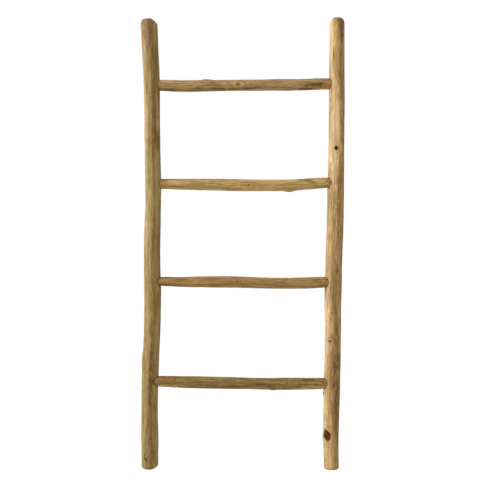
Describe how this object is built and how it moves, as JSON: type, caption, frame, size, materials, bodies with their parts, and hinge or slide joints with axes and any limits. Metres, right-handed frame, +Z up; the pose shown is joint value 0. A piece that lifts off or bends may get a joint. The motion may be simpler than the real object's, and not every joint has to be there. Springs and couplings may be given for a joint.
{
  "type": "display ladder",
  "caption": "Rustic display ladder of peeled, naturally crooked poles, with round rungs tenoned into bored sockets in the upright rails, for leaning on a wall and hanging blankets.",
  "frame": {"origin": "on the floor, under the middle of the ladder's box", "axes": "+X to the right along the rungs, +Y to the back, towards the wall, +Z up the rails; the front is -Y"},
  "size_m": [0.61, 0.0536, 1.35],
  "materials": {
    "rail_wood": "peeled pole, shaved with a drawknife, dry and matt with a faint oil sheen",
    "rung_wood": "peeled pole, scraped, dry and matt",
    "nail_steel": "dull bright wire nail"
  },
  "bodies": {
    "root": {"left_rail": "rail_wood", "right_rail": "rail_wood", "bottom_rung": "rung_wood", "lower_rung": "rung_wood", "upper_rung": "rung_wood", "top_rung": "rung_wood", "bottom_rung_left_nail": "nail_steel", "bottom_rung_right_nail": "nail_steel", "lower_rung_left_nail": "nail_steel", "lower_rung_right_nail": "nail_steel", "upper_rung_left_nail": "nail_steel", "upper_rung_right_nail": "nail_steel", "top_rung_left_nail": "nail_steel", "top_rung_right_nail": "nail_steel"}
  },
  "joints": []
}
